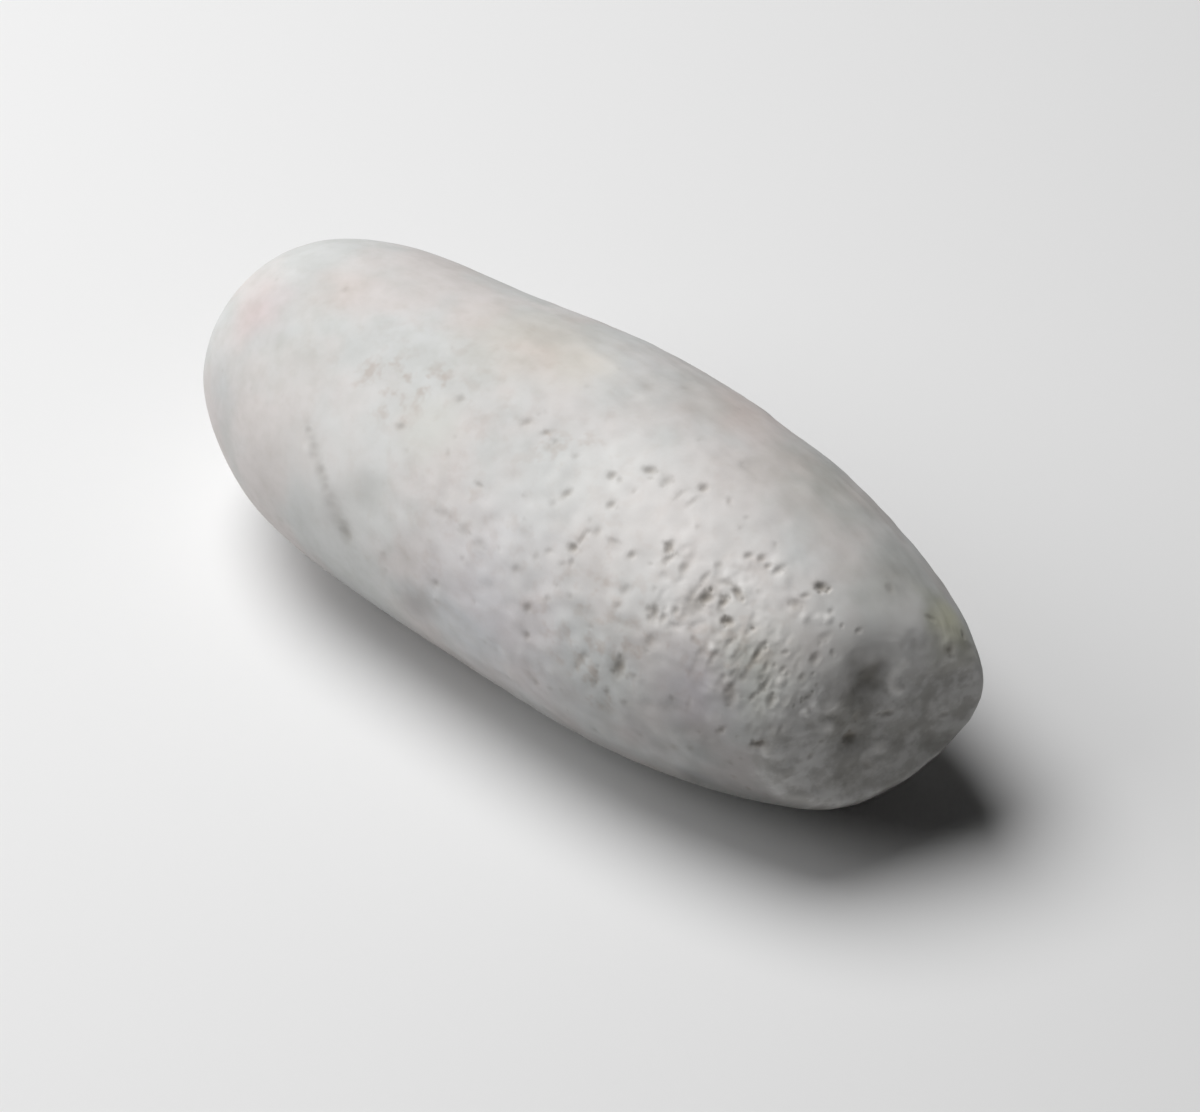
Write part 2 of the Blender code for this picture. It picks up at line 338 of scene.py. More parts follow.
surface = surface_of(stone)
dents = placed(SIDE_DISHES, place_on_side) + placed(END_DISHES, place_on_end)
points = read_points(stone)
for centre, normal, radius, depth in dents:
    apart = np.linalg.norm(points - np.array(centre), axis=1) / radius
    share = np.clip(1 - apart**2, 0, None) ** DISH_SOFTNESS
    points = points - depth * np.outer(share, np.array(normal))
write_points(stone, points)
print(len(dents), "soft dents, the deepest", max(dent[3] for dent in dents), "mm")

# %% [markdown]
# ## The belly
# The stone lies still because its belly is worn flat: a small four-sided facet with four
# gentle slopes that run up from its sides, the same as on the solid. Each is one more plane
# for the wearing function, with a finer rim.

# %% Flatten the belly
REST_CORNERS = ((-14.5, -4.2), (13.5, -4.8), (13.5, 5.0), (-14.5, 4.3))
BELLY_SLOPE = 3.0
BELLY_RIM = 0.15

points = read_points(stone)
corners = [np.array((along, across, 0.0)) for along, across in REST_CORNERS]
for corner, following in zip(corners, corners[1:] + corners[:1]):
    side = following - corner
    outward = np.array((side[1], -side[0], 0.0)) / np.hypot(side[0], side[1])
    slope = math.radians(BELLY_SLOPE)
    normal = outward * math.sin(slope) - np.array((0, 0, math.cos(slope)))
    points = wear_flat(points, normal, corner @ normal, BELLY_RIM)
points = wear_flat(points, facing(0.0, -90.0), 0.0, BELLY_RIM)
write_points(stone, points)
print("lowest point", round(points[:, 2].min(), 4), "mm")

# %% [markdown]
# ## A list of hollows
# What makes chalk look like chalk is its pores: pits up to three millimetres long where a
# shell or a boring animal sat, pinholes, scrapes, and one dotted scratch. All are oval
# hollows, so they go into one list before any is pressed in. The pits that show from a step
# away lie about where they lie on the solid, with softer and shallower bowls. The tail's tip
# doesn't show in the picture, so its few faint pits are a guess.

# %% List the pits
# Place, length, width, turn of the length from X round the stone, and depth.
BORED_PITS = (
    (22.1, 39, 2.0, 1.3, 64, 0.66), (21.7, 42, 3.2, 1.8, 68, 0.30), (21.1, 40, 2.2, 0.6, 85, 0.16),
    (22.9, 31, 1.5, 0.8, 20, 0.24), (23.6, 37, 1.5, 0.8, 85, 0.46), (24.1, 32, 1.7, 0.8, 150, 0.48),
    (24.7, 42, 1.3, 0.9, 25, 0.62), (26.8, 40, 0.6, 0.5, 0, 0.25), (29.2, 12, 1.4, 1.0, 31, 0.55),
    (28.5, 24, 1.3, 1.1, 40, 0.22), (28.7, 19, 1.1, 0.6, 50, 0.18), (17.1, 31, 1.4, 0.9, 100, 0.50),
    (17.6, 34, 1.8, 0.7, 68, 0.28), (19.2, 34, 1.1, 0.9, 90, 0.24), (21.1, 33, 1.3, 0.5, 80, 0.16),
    (18.9, 51, 1.7, 1.0, 105, 0.34), (19.8, 51, 1.1, 0.8, 80, 0.26), (20.5, 47, 1.0, 0.8, 60, 0.28),
    (19.7, 60, 1.9, 1.2, 80, 0.14),
)
SCRAPED_PITS = (
    (28.1, 47, 2.9, 0.7, 85, 0.26), (29.1, 50, 1.2, 0.6, 100, 0.14), (29.6, 57, 2.3, 0.7, 80, 0.20),
    (29.2, 62, 1.4, 0.5, 75, 0.16), (30.5, 61, 1.4, 1.0, 95, 0.28), (27.6, 65, 1.9, 1.3, 95, 0.26),
    (25.0, 55, 1.6, 0.6, 80, 0.14), (25.7, 48, 1.7, 0.4, 70, 0.12), (26.6, 50, 2.0, 0.4, 78, 0.10),
    (27.0, 57, 1.8, 0.4, 80, 0.10), (31.7, 48, 1.1, 0.7, 90, 0.14), (32.6, 55, 1.4, 0.6, 60, 0.16),
    (31.9, 38, 1.2, 1.0, 80, 0.20), (31.7, 28, 1.8, 1.0, 65, 0.08), (27.6, 79, 1.5, 0.6, 60, 0.20),
    (30.7, 80, 1.4, 0.8, 30, 0.45), (17.8, 72, 2.6, 1.2, 87, 0.40),
)
SMALL_PITS = (
    (9.7, 46, 1.0, 0.9, 30, 0.42), (10.0, 42, 1.9, 0.5, 85, 0.18), (10.2, 50, 0.9, 0.6, 100, 0.16),
    (6.6, 33, 1.2, 0.8, 65, 0.28), (9.0, 21, 1.0, 0.9, 70, 0.28), (9.8, 21, 0.8, 0.7, 0, 0.16),
    (10.6, 29, 1.1, 0.7, 75, 0.26), (11.4, 13, 1.4, 0.8, 30, 0.34), (13.2, 13, 1.4, 1.0, 90, 0.14),
    (14.7, 39, 1.0, 0.8, 60, 0.28), (16.1, 8, 1.1, 0.9, 70, 0.34), (16.2, 14, 1.9, 0.5, 80, 0.12),
    (14.9, 15, 2.0, 0.4, 80, 0.10), (10.9, 38, 1.1, 0.8, 95, 0.14), (12.7, 38, 1.4, 0.6, 10, 0.12),
    (23.0, 19, 1.0, 0.8, 60, 0.26), (24.0, 17, 1.1, 0.8, 75, 0.24), (24.8, 18, 0.8, 0.6, 75, 0.20),
    (25.7, 17, 1.3, 0.8, 75, 0.22), (33.0, -11, 1.1, 1.0, 0, 0.10), (15.9, 81, 1.1, 0.5, 80, 0.14),
    (17.1, 82, 1.0, 0.5, 85, 0.14), (14.3, 74, 1.2, 0.6, 75, 0.14), (13.8, 79, 0.9, 0.6, 80, 0.10),
    (15.7, 49, 1.2, 0.8, 70, 0.14), (-2.0, 79, 0.9, 0.8, 40, 0.14), (5.6, 60, 1.2, 0.8, 60, 0.10),
    (7.9, 69, 1.2, 0.9, 80, 0.24), (8.4, 78, 1.0, 0.8, 90, 0.20), (-0.7, 20, 1.4, 0.8, 55, 0.22),
    (1.5, 20, 1.2, 0.6, 50, 0.20), (2.7, 21, 0.7, 0.6, 60, 0.14), (-7.6, 24, 1.0, 0.9, 60, 0.16),
    (-11.1, 41, 1.1, 0.8, 20, 0.18), (-1.1, 44, 1.0, 0.5, 0, 0.16), (-0.6, 58, 1.6, 1.3, 20, 0.10),
    (1.4, 59, 1.4, 1.2, 60, 0.10), (-3.2, 57, 1.6, 1.1, 10, 0.10),
)
END_PITS = (
    (-3.0, 19.8, 2.2, 2.0, 110, 0.10), (-5.4, 14.4, 1.6, 1.3, 0, 0.30),
    (-2.4, 16.0, 1.7, 0.8, 0, 0.20), (-4.9, 16.8, 1.3, 1.0, 70, 0.16),
    (-4.4, 11.0, 1.2, 0.8, 135, 0.16), (3.6, 20.3, 1.2, 1.0, 0, 0.26),
    (2.5, 13.6, 0.9, 0.8, 0, 0.14), (3.5, 22.8, 1.2, 0.6, 30, 0.10), (5.7, 20.3, 1.0, 0.7, 0, 0.14),
)
TAIL_PITS = (
    (-4.0, 17.5, 1.3, 0.9, 40, 0.16), (-2.6, 18.6, 0.8, 0.7, 0, 0.10),
    (3.5, 12.0, 1.1, 0.8, 120, 0.14), (5.5, 19.5, 0.9, 0.7, 60, 0.12),
    (-1.5, 9.5, 0.8, 0.6, 80, 0.10),
)
print(len(BORED_PITS) + len(SCRAPED_PITS), "large pits and", len(SMALL_PITS), "small ones")
print(len(END_PITS), "on the worn end and", len(TAIL_PITS), "on the tail's tip")

# %% [markdown]
# ## Pits on the hidden sides
# The back and the underside have pits too. The larger ones are drawn by chance with the same
# seed as the solid's, so they fall in the same places. Pores stand in groups, so each gets a
# few small ones around it. None is put on the flat that the stone rests on.

# %% Strew pits over the hidden sides
STREWN_PITS, STREWN_SEED, STREWN_GAP = 30, 7, 3.0
STREWN_ALONG, STREWN_AROUND = (-32.0, 31.0), (130.0, 305.0)
STREWN_LENGTH, STREWN_SHAPE, LEAST_WIDTH = (0.9, 2.2), (0.5, 0.9), 0.8
STREWN_DEPTH, STREWN_SOFTNESS = (0.4, 0.65), 0.6
NEARBY_PITS, NEARBY_SEED = (2, 4), 31
NEARBY_DISTANCE, NEARBY_LENGTH = (1.2, 3.4), (0.5, 1.1)
NEARBY_SHAPE, NEARBY_DEPTH = (0.6, 0.95), (0.12, 0.26)
# The usual turn of a pit, and how far turns spread around it.
PIT_TURN = (90, 30)
LOWEST_NORMAL = -0.92


def pit_axes(normal, turn):
    """The unit vectors along a hollow's length and across it."""
    tangent = Vector((1, 0, 0)) - normal * normal.x
    tangent.normalize()
    sideways = normal.cross(tangent)
    angle = math.radians(turn)
    long_axis = tangent * math.cos(angle) + sideways * math.sin(angle)
    return long_axis, normal.cross(long_axis)


def mostly_short(chance, lengths):
    """A random length between two, the short ones being more common."""
    return lengths[0] + (lengths[1] - lengths[0]) * chance.random() ** 2


def strewn_pits():
    """The random pits on the hidden sides, drawn in the same order as the solid's."""
    chance = random.Random(STREWN_SEED)
    found = []
    while len(found) < STREWN_PITS:
        along = chance.uniform(*STREWN_ALONG)
        around = chance.uniform(*STREWN_AROUND)
        length = mostly_short(chance, STREWN_LENGTH)
        width = max(LEAST_WIDTH, length * chance.uniform(*STREWN_SHAPE))
        turn = chance.gauss(*PIT_TURN)
        depth = width * chance.uniform(*STREWN_DEPTH) * STREWN_SOFTNESS
        centre, normal = place_on_side(surface, along, around)
        crowded = any((centre - other[0]).length < STREWN_GAP for other in found)
        if normal.z > LOWEST_NORMAL and not crowded:
            found.append((centre, normal, length, width, turn, depth))
    return found


def small_ones_near(pits):
    """A few small pits around each of these, as pores stand in groups."""
    chance = random.Random(NEARBY_SEED)
    found = []
    for centre, normal, *_ in pits:
        for _ in range(chance.randint(*NEARBY_PITS)):
            aside = pit_axes(normal, chance.uniform(0, 360))[0]
            spot, way = surface.find_nearest(centre + aside * chance.uniform(*NEARBY_DISTANCE))[:2]
            length = chance.uniform(*NEARBY_LENGTH)
            width = length * chance.uniform(*NEARBY_SHAPE)
            turn = chance.gauss(*PIT_TURN)
            found.append((spot, way, length, width, turn, length * chance.uniform(*NEARBY_DEPTH)))
    return found


def place_on_tail(surface, across, up):
    return surface.ray_cast(Vector((TAIL_TIP * 2, across, up)), Vector((1, 0, 0)))[:2]


surface = surface_of(stone)
strewn = strewn_pits()
around_them = small_ones_near(strewn)
hollows = placed(BORED_PITS + SCRAPED_PITS + SMALL_PITS, place_on_side)
hollows += placed(END_PITS, place_on_end) + placed(TAIL_PITS, place_on_tail)
hollows += strewn + around_them
print(len(hollows), "pits")

# %% [markdown]
# ## Ragged pits
# One oval looks drilled. A pit in chalk has crumbled, so each of the longer ones gets a few
# smaller ovals across its rim. They are pressed to the greater of their depths, so together
# they make one hollow with a ragged outline and a stepped floor.

# %% Break the rims of the longer pits
LOBES, LONG_PIT = 4, 1.2
LOBE_REACH, LOBE_SIZE = (0.55, 0.95), (0.35, 0.6)
LOBE_SHAPE, LOBE_DEPTH = (0.6, 0.95), (0.4, 0.8)
LOBE_TURN, CRUMBLE_SEED = 50, 11

crumble = random.Random(CRUMBLE_SEED)


def lobes_of(pit):
    centre, normal, length, width, turn, depth = pit
    long_axis, cross_axis = pit_axes(normal, turn)
    found = []
    for _ in range(LOBES):
        angle = crumble.uniform(0, math.tau)
        reach = crumble.uniform(*LOBE_REACH)
        along = long_axis * math.cos(angle) * length / 2 * reach
        across = cross_axis * math.sin(angle) * width / 2 * reach
        size = crumble.uniform(*LOBE_SIZE) * math.sqrt(length * width)
        shape = crumble.uniform(*LOBE_SHAPE)
        deep = depth * crumble.uniform(*LOBE_DEPTH)
        way = turn + crumble.uniform(-LOBE_TURN, LOBE_TURN)
        found.append((centre + along + across, normal, size, size * shape, way, deep))
    return found


lobes = [lobe for pit in hollows if pit[2] > LONG_PIT for lobe in lobes_of(pit)]
hollows += lobes
print(len(lobes), "lobes added")

# %% [markdown]
# ## Pinholes
# The finest hollows are too small for the solid. Pinholes lie thick on the nose half, few and
# faint towards the tail, and few on the smooth strip along the top of the back. Each is drawn
# by chance, and then kept or not by where it lies.

# %% Strew the pinholes
FINE_SEED = 23
PINHOLES, PINHOLES_ALONG = 230, (-36, 34)
PINHOLE_LENGTH, PINHOLE_SHAPE, PINHOLE_TURN = (0.45, 1.0), (0.55, 1.0), (80, 30)
PINHOLE_DEPTH, FAINTER_ON_TAIL = 0.13, 0.4
# The shares that stay on the tail and on the smooth strip.
TAIL_SHARE_KEPT, STRIP_SHARE_KEPT = 0.12, 0.2
PINHOLES_THICKEN = (-16, 18)
SMOOTH_STRIP = (-75, 6)

chance = random.Random(FINE_SEED)
pinholes = []
while len(pinholes) < PINHOLES:
    along, around = chance.uniform(*PINHOLES_ALONG), chance.uniform(-180, 180)
    length = mostly_short(chance, PINHOLE_LENGTH)
    shape, turn = chance.uniform(*PINHOLE_SHAPE), chance.gauss(*PINHOLE_TURN)
    share = TAIL_SHARE_KEPT + (1 - TAIL_SHARE_KEPT) * soft_step(along, *PINHOLES_THICKEN)
    if SMOOTH_STRIP[0] < around < SMOOTH_STRIP[1]:
        share *= STRIP_SHARE_KEPT
    kept = chance.random() < share
    centre, normal = place_on_side(surface, along, around)
    if kept and normal.z > LOWEST_NORMAL:
        depth = length * PINHOLE_DEPTH * (FAINTER_ON_TAIL + (1 - FAINTER_ON_TAIL) * share)
        pinholes.append((centre, normal, length, length * shape, turn, depth))
print(len(pinholes), "pinholes")

# %% [markdown]
# ## Scrapes and the dotted scratch
# Below the large pits, grit left short scrapes that all run round the stone. Near the tail
# one point of grit skipped along and left a row of dots, which grow towards its lower end.

# %% Scrape and scratch the stone
SCRAPES = 30
SCRAPE_ALONG, SCRAPE_AROUND, SCRAPE_TURN = (23.5, 33.5), (38.0, 76.0), (85, 9)
SCRAPE_LENGTH, SCRAPE_WIDTH, SCRAPE_DEPTH = (1.0, 2.4), (0.5, 0.85), (0.02, 0.07)
SCRATCH = (
    (-20.4, 56), (-19.2, 60), (-17.8, 65), (-16.5, 69), (-15.2, 74), (-14.0, 78), (-13.0, 82)
)
SCRATCH_DOTS, DOT_STRAYS, DOTS_GROW = 15, 0.2, 0.8
DOT_SIZE, DOT_SHAPE, DOT_DEPTHS = (0.9, 1.3), 0.85, (0.02, 0.04, 0.07, 0.11)
SCRATCH_TURN, DOT_TURNS = -42, 20

scrapes = []
for _ in range(SCRAPES):
    along, around = chance.uniform(*SCRAPE_ALONG), chance.uniform(*SCRAPE_AROUND)
    centre, normal = place_on_side(surface, along, around)
    length, width = chance.uniform(*SCRAPE_LENGTH), chance.uniform(*SCRAPE_WIDTH)
    turn, depth = chance.gauss(*SCRAPE_TURN), chance.uniform(*SCRAPE_DEPTH)
    scrapes.append((centre, normal, length, width, turn, depth))

dots = []
for step in range(SCRATCH_DOTS):
    at = step / (SCRATCH_DOTS - 1) * (len(SCRATCH) - 1)
    leg = min(int(at), len(SCRATCH) - 2)
    start, end = np.array(SCRATCH[leg]), np.array(SCRATCH[leg + 1])
    along, around = start + (end - start) * (at - leg)
    along += chance.uniform(-DOT_STRAYS, DOT_STRAYS)
    centre, normal = place_on_side(surface, along, around)
    size = chance.uniform(*DOT_SIZE) * (1 + DOTS_GROW * step / SCRATCH_DOTS)
    depth = size * chance.choice(DOT_DEPTHS)
    turn = SCRATCH_TURN + chance.gauss(0, DOT_TURNS)
    dots.append((centre, normal, size, size * DOT_SHAPE, turn, depth))

hollows += pinholes + scrapes + dots
print(len(hollows), "hollows in all")

# %% [markdown]
# ## Where the skin is rough
# The skin gets rougher from the tail to the nose. Five kinds of patch lie on it: ridges that
# run round the stone where it was scraped, streaks along it, crumbs around the large pits,
# lumpier skin, and freckles, which are only colour. Each is an oval with a soft, broken edge.

# %% Mark the patches
# Middle, half length in mm, half width in degrees around, and strength.
RIDGED_PATCHES = (
    (29.0, 52, 6.0, 20, 1.0), (16.0, 48, 17.0, 42, 0.35), (-16.0, -110, 9.0, 40, 0.5),
)
STREAKED_PATCHES = (
    (8.0, -32, 32.0, 32, 1.0), (10.0, 75, 28.0, 36, 0.85), (0.0, 175, 30.0, 50, 0.6),
)
CRUMBLY_PATCHES = (
    (23.0, 40, 7.5, 20, 1.0), (25.5, 17, 4.5, 12, 0.7), (9.0, 22, 10.0, 16, 0.45),
    (18.0, 66, 4.0, 12, 0.5), (14.0, 40, 22.0, 60, 0.3), (18.0, -120, 9.0, 35, 0.7),
    (-6.0, -155, 13.0, 28, 0.5),
)
LUMPY_PATCHES = ((9.0, 78, 30.0, 34, 1.0), (4.0, -30, 30.0, 26, 0.7))
FRECKLED_PATCHES = (
    (-13.5, 31, 6.5, 14, 1.0), (3.0, 55, 8.0, 12, 0.9), (7.0, 22, 7.0, 12, 0.9),
    (13.0, 62, 9.0, 14, 0.8), (15.3, 78, 4.0, 13, 1.0), (20.0, 40, 12.0, 30, 0.9),
    (0.0, 40, 26.0, 55, 0.35), (-4.0, -140, 26.0, 70, 0.6),
)
PATCH_EDGE_MM, PATCH_EDGE_BREAK, PATCH_SHIFT = 3.0, 0.35, 4.0
PATCH_FADE = (-1.15, -0.65)


def around_of(points):
    """Degrees around the stone's axis from the top, positive towards the front."""
    return np.degrees(np.arctan2(-points[:, 1], points[:, 2] - MIDDLE_HEIGHT))


def patch_share(points, patches):
    """How strongly each point belongs to the patches, from 0 to 1."""
    share = np.zeros(len(points))
    around = around_of(points)
    broken = PATCH_EDGE_BREAK * noise_over(points, PATCH_EDGE_MM, PATCH_SHIFT)
    for along, turn, half_length, half_turn, strength in patches:
        off_turn = (around - turn + 180) % 360 - 180
        out = np.hypot((points[:, 0] - along) / half_length, off_turn / half_turn) + broken
        share = np.maximum(share, strength * soft_step(-out, *PATCH_FADE))
    return share


points = read_points(stone)
print("mean share of ridges", round(patch_share(points, RIDGED_PATCHES).mean(), 2))

# %% [markdown]
# ## Finer faces where they are needed
# A pinhole is smaller than one face of the mesh. Dividing the whole stone twice would make a
# million triangles, so only the faces near a hollow, in a rough patch and on the worn end
# are subdivided, and then the nearest and roughest once more.

# %% Subdivide the faces near the hollows
# How far past a hollow a pass reaches, how rough a patch has to be, and if the end joins in.
PASSES = ((0.5, 0.2, True), (0.12, 0.75, False))
# The worn end starts this far before its plane.
END_STARTS = -0.8


def on_oval(places, hollow, radius, margin=0.0):
    """The places within a radius of a hollow, and how far out on its oval each is."""
    centre, normal, length, width, turn = hollow[:5]
    offset = places - np.array(centre)
    close = np.flatnonzero((offset**2).sum(axis=1) < radius**2)
    long_axis, cross_axis = (np.array(axis) for axis in pit_axes(normal, turn))
    along = offset[close] @ long_axis / (length / 2 + margin)
    across = offset[close] @ cross_axis / (width / 2 + margin)
    return close, np.hypot(along, across)


def near_hollows(middles, margin):
    """Which of the places lie within a hollow or the margin around it."""
    wanted = np.zeros(len(middles), dtype=bool)
    for hollow in hollows:
        close, out = on_oval(middles, hollow, hollow[2] / 2 + margin, margin)
        wanted[close[out < 1]] = True
    return wanted


for margin, roughness, with_end in PASSES:
    work_on(stone)
    middles = read(stone.data.polygons, "center") / MM
    rough = patch_share(middles, RIDGED_PATCHES + CRUMBLY_PATCHES) > roughness
    wanted = near_hollows(middles, margin) | rough
    if with_end:
        wanted |= middles @ facing(*WORN_END[:2]) - WORN_END[2] > END_STARTS
    for parts in (stone.data.vertices, stone.data.edges):
        parts.foreach_set("select", np.zeros(len(parts), dtype=bool))
    stone.data.polygons.foreach_set("select", wanted)
    bpy.context.tool_settings.mesh_select_mode = (False, False, True)
    bpy.ops.object.mode_set(mode="EDIT")
    bpy.ops.mesh.subdivide(number_cuts=1, smoothness=1.0, ngon=False)
    bpy.ops.object.mode_set(mode="OBJECT")
    stone.data.calc_loop_triangles()
    print(int(wanted.sum()), "faces divided, now", len(stone.data.loop_triangles), "triangles")

# %% [markdown]
# ## Pressing the hollows in
# Every point is to move inwards along its normal, by the greatest depth that any hollow asks
# for there. Noise bends each outline, and a thin ragged lip stands up around each pit. Wear
# has rounded the walls, so a small pore shows less by its shade than by the darkening in it
# and around it: grime, with painted shade that deepens with the pit. That darkening is kept
# for the colour.

# %% Press the hollows in
# The noise that bends the outlines, with a share of a finer one.
RAGGED, BEND_MM, FINE_BEND_MM, FINE_BEND, BEND_SHIFT = 0.2, 0.55, 0.3, 0.4, 5.0
# How far from its middle a hollow is looked for, in its lengths.
LOOKED_FOR = 0.9
WALL_TOP, PRESSED_SHARE = 1.25, 0.58
LIP_HEIGHT, LIP_WIDTH, LIP_RAGGED, LIP_ENDS = 0.009, 0.3, 2, 0.05
# A pit's darkening is grime with painted shade, fuller in deeper pits.
PIT_DARKENING_FADES = (-1.7, 0.2)
FULL_EFFECT_DEPTH, PIT_DARKENING_POWER = 0.85, 0.58

points = read_points(stone)
normals = read(stone.data.vertex_normals, "vector")
bend = noise_over(points, BEND_MM)
bend = bend + FINE_BEND * noise_over(points, FINE_BEND_MM, BEND_SHIFT)
deep = np.zeros(len(points))
lip = np.zeros(len(points))
grime_and_hollow_shade = np.zeros(len(points))
for hollow in hollows:
    close, out = on_oval(points, hollow, hollow[2] * LOOKED_FOR)
    out = out * (1 + RAGGED * bend[close])
    depth = hollow[-1]
    deep[close] = np.maximum(deep[close], depth * PRESSED_SHARE * soft_step(-out, -WALL_TOP, 0))
    ridge = np.exp(-(((out - WALL_TOP) / LIP_WIDTH) ** 2)) * min(1.0, depth / FULL_EFFECT_DEPTH)
    lip[close] = np.maximum(lip[close], ridge)
    pit_darkening = min(1.0, depth / FULL_EFFECT_DEPTH) ** PIT_DARKENING_POWER * soft_step(-out, *PIT_DARKENING_FADES)
    grime_and_hollow_shade[close] = np.maximum(grime_and_hollow_shade[close], pit_darkening)
lip = LIP_HEIGHT * lip * np.clip(1 + LIP_RAGGED * bend, 0, LIP_RAGGED) * (deep < LIP_ENDS)
print("deepest", round(deep.max(), 2), "mm, most grime", round(grime_and_hollow_shade.max(), 2))

# %% [markdown]
# ## The skin between the hollows
# Fine lumps lie all over the stone, higher on the nose half and in the lumpy patches, lower
# near the worn end and on the smooth strip along the top of the back. In the crumbly patches
# and on the worn end wear has taken the crests, so the noise is cut off above, which leaves
# small plateaus with holes between them. Ridges are noise stretched to run round the stone,
# and streaks are noise stretched to run along it.

# %% Say how rough each point is
SKIN_ON_TAIL, SKIN_ROUGHENS = 0.12, (-22, 8)
SKIN_ON_END, SKIN_CALMS = 0.35, (-3.5, -1.0)
SKIN_ON_STRIP, STRIP_STARTS, STRIP_ENDS = 0.65, (-95, -60), (0, 25)
LUMPIER = 0.7

around = around_of(points)
past_end = points @ facing(*WORN_END[:2]) - WORN_END[2]
on_strip = soft_step(around, *STRIP_STARTS) * (1 - soft_step(around, *STRIP_ENDS))
rougher = SKIN_ON_TAIL + (1 - SKIN_ON_TAIL) * soft_step(points[:, 0], *SKIN_ROUGHENS)
rougher *= 1 - (1 - SKIN_ON_END) * soft_step(past_end, *SKIN_CALMS)
rougher *= 1 - (1 - SKIN_ON_STRIP) * on_strip
rougher *= 1 + LUMPIER * patch_share(points, LUMPY_PATCHES)
print("lumps stand out by", round(rougher.min(), 2), "to", round(rougher.max(), 2))

# %% Roughen the skin
# Height and width of each size of wave and lump.
WAVES, WAVE_SHIFT = ((0.03, 5.0), (0.03, 2.4)), 9.0
SKIN_LUMPS, LUMP_SHIFT = ((0.07, 1.7), (0.03, 1.2)), 12.0
CRUMB_HEIGHT, RIDGE_HEIGHT, STREAK_HEIGHT, END_HEIGHT = 0.12, 0.045, 0.058, 0.13
# Width and shift of their noise, and how many times as long as wide it is.
CRUMB_NOISE, RIDGE_NOISE, STREAK_NOISE, END_NOISE = (1.1, 3.0), (1.0, 0.0), (1.0, 1.0), (1.7, 7.0)
RIDGE_STRETCH, STREAK_STRETCH = 2.6, 4.0
FINER_SHARE, FINER_SHIFT = 0.4, 3.0
CRUMBS_IN_RIDGES, PLATEAU = 0.45, 0.15
END_FADES = (-0.5, -0.05)


def two_sizes(points, width, shift):
    """Noise in lumps of the given width, with lumps of half that width among them."""
    finer = noise_over(points, width / 2, shift + FINER_SHIFT)
    return noise_over(points, width, shift) + FINER_SHARE * finer


arc = np.radians(around) * MIDDLE_HEIGHT
level = np.zeros(len(points))
round_it = np.column_stack((points[:, 0], arc / RIDGE_STRETCH, level))
along_it = np.column_stack((points[:, 0] / STREAK_STRETCH, arc, level))
waves = sum(height * noise_over(points, width, WAVE_SHIFT) for height, width in WAVES)
lumps = sum(height * noise_over(points, width, LUMP_SHIFT) for height, width in SKIN_LUMPS)
crumbs = np.minimum(two_sizes(points, *CRUMB_NOISE), PLATEAU)
ridges = np.minimum(two_sizes(round_it, *RIDGE_NOISE), 2 * PLATEAU)
streaks = two_sizes(along_it, *STREAK_NOISE)
end_lumps = np.minimum(two_sizes(points, *END_NOISE), 2 * PLATEAU)
crumbly = patch_share(points, CRUMBLY_PATCHES)
ridged = patch_share(points, RIDGED_PATCHES)
relief = CRUMB_HEIGHT * np.maximum(crumbly, CRUMBS_IN_RIDGES * ridged) * crumbs
relief += RIDGE_HEIGHT * ridged * ridges
relief += STREAK_HEIGHT * patch_share(points, STREAKED_PATCHES) * streaks
relief += END_HEIGHT * soft_step(past_end, *END_FADES) * end_lumps
relief += rougher * lumps
print("relief from", round(relief.min(), 2), "to", round(relief.max(), 2), "mm")

# %% [markdown]
# ## Small humps
# A few crumbs of harder chalk stand proud of the worn skin, as soft humps between the pits,
# which the colour paints paler, partly as painted light, and as a short curved ridge beside
# the dent on the worn end. Each is a round bell. Then every point moves once along its normal,
# by all that stands up less all that is pressed in. None may pass below the ground, because
# the stone rests on it.

# %% Raise the humps and move the points
# Place, radius and height.
SIDE_HUMPS = (
    (25.1, 15, 0.7, 0.10), (26.3, 18, 0.7, 0.10), (24.2, 30, 0.8, 0.12), (28.7, 26, 0.6, 0.12),
    (29.6, 26, 0.5, 0.14), (31.1, 21, 0.5, 0.14), (30.6, 23, 0.5, 0.12), (30.5, 53, 0.5, 0.16),
    (32.9, 63, 0.5, 0.16), (33.2, 59, 0.6, 0.10), (24.7, 52, 0.5, 0.14), (-19.2, 63, 0.7, 0.06),
    (31.5, 83, 0.6, 0.14), (27.0, 60, 0.5, 0.12),
)
END_HUMPS = ((-6.9, 18.8, 0.9, 0.14), (-7.3, 16.9, 0.8, 0.14), (-3.2, 12.6, 0.9, 0.10))
END_RIDGE = ((-0.3, 20.7), (-0.9, 20.1), (-1.4, 19.3), (-1.5, 18.5), (-1.0, 17.8))
RIDGE_STEPS, RIDGE_RADIUS, RIDGE_RISE = 4, 0.6, 0.14
HUMP_FOOT = 1.3


def ridge_rows(path):
    """Humps so close together along a path that they make one ridge."""
    for start, end in zip(np.array(path), np.array(path[1:])):
        for step in range(RIDGE_STEPS):
            yield (*(start + (end - start) * step / RIDGE_STEPS), RIDGE_RADIUS, RIDGE_RISE)


humps = placed(SIDE_HUMPS, place_on_side) + placed(END_HUMPS, place_on_end)
humps += placed(ridge_rows(END_RIDGE), place_on_end)
raised = np.zeros(len(points))
for centre, _, radius, height in humps:
    apart = np.linalg.norm(points - np.array(centre), axis=1) / radius * (1 + RAGGED * bend)
    raised = np.maximum(raised, height * soft_step(-apart, -HUMP_FOOT, 0))
print(len(humps), "humps, up to", round(raised.max(), 2), "mm high")

points = points + (waves + relief + raised + lip - deep)[:, None] * normals
points[:, 2] = np.maximum(points[:, 2], 0.0)
write_points(stone, points)
print(len(points), "points moved; highest", round(points[:, 2].max(), 2), "mm")
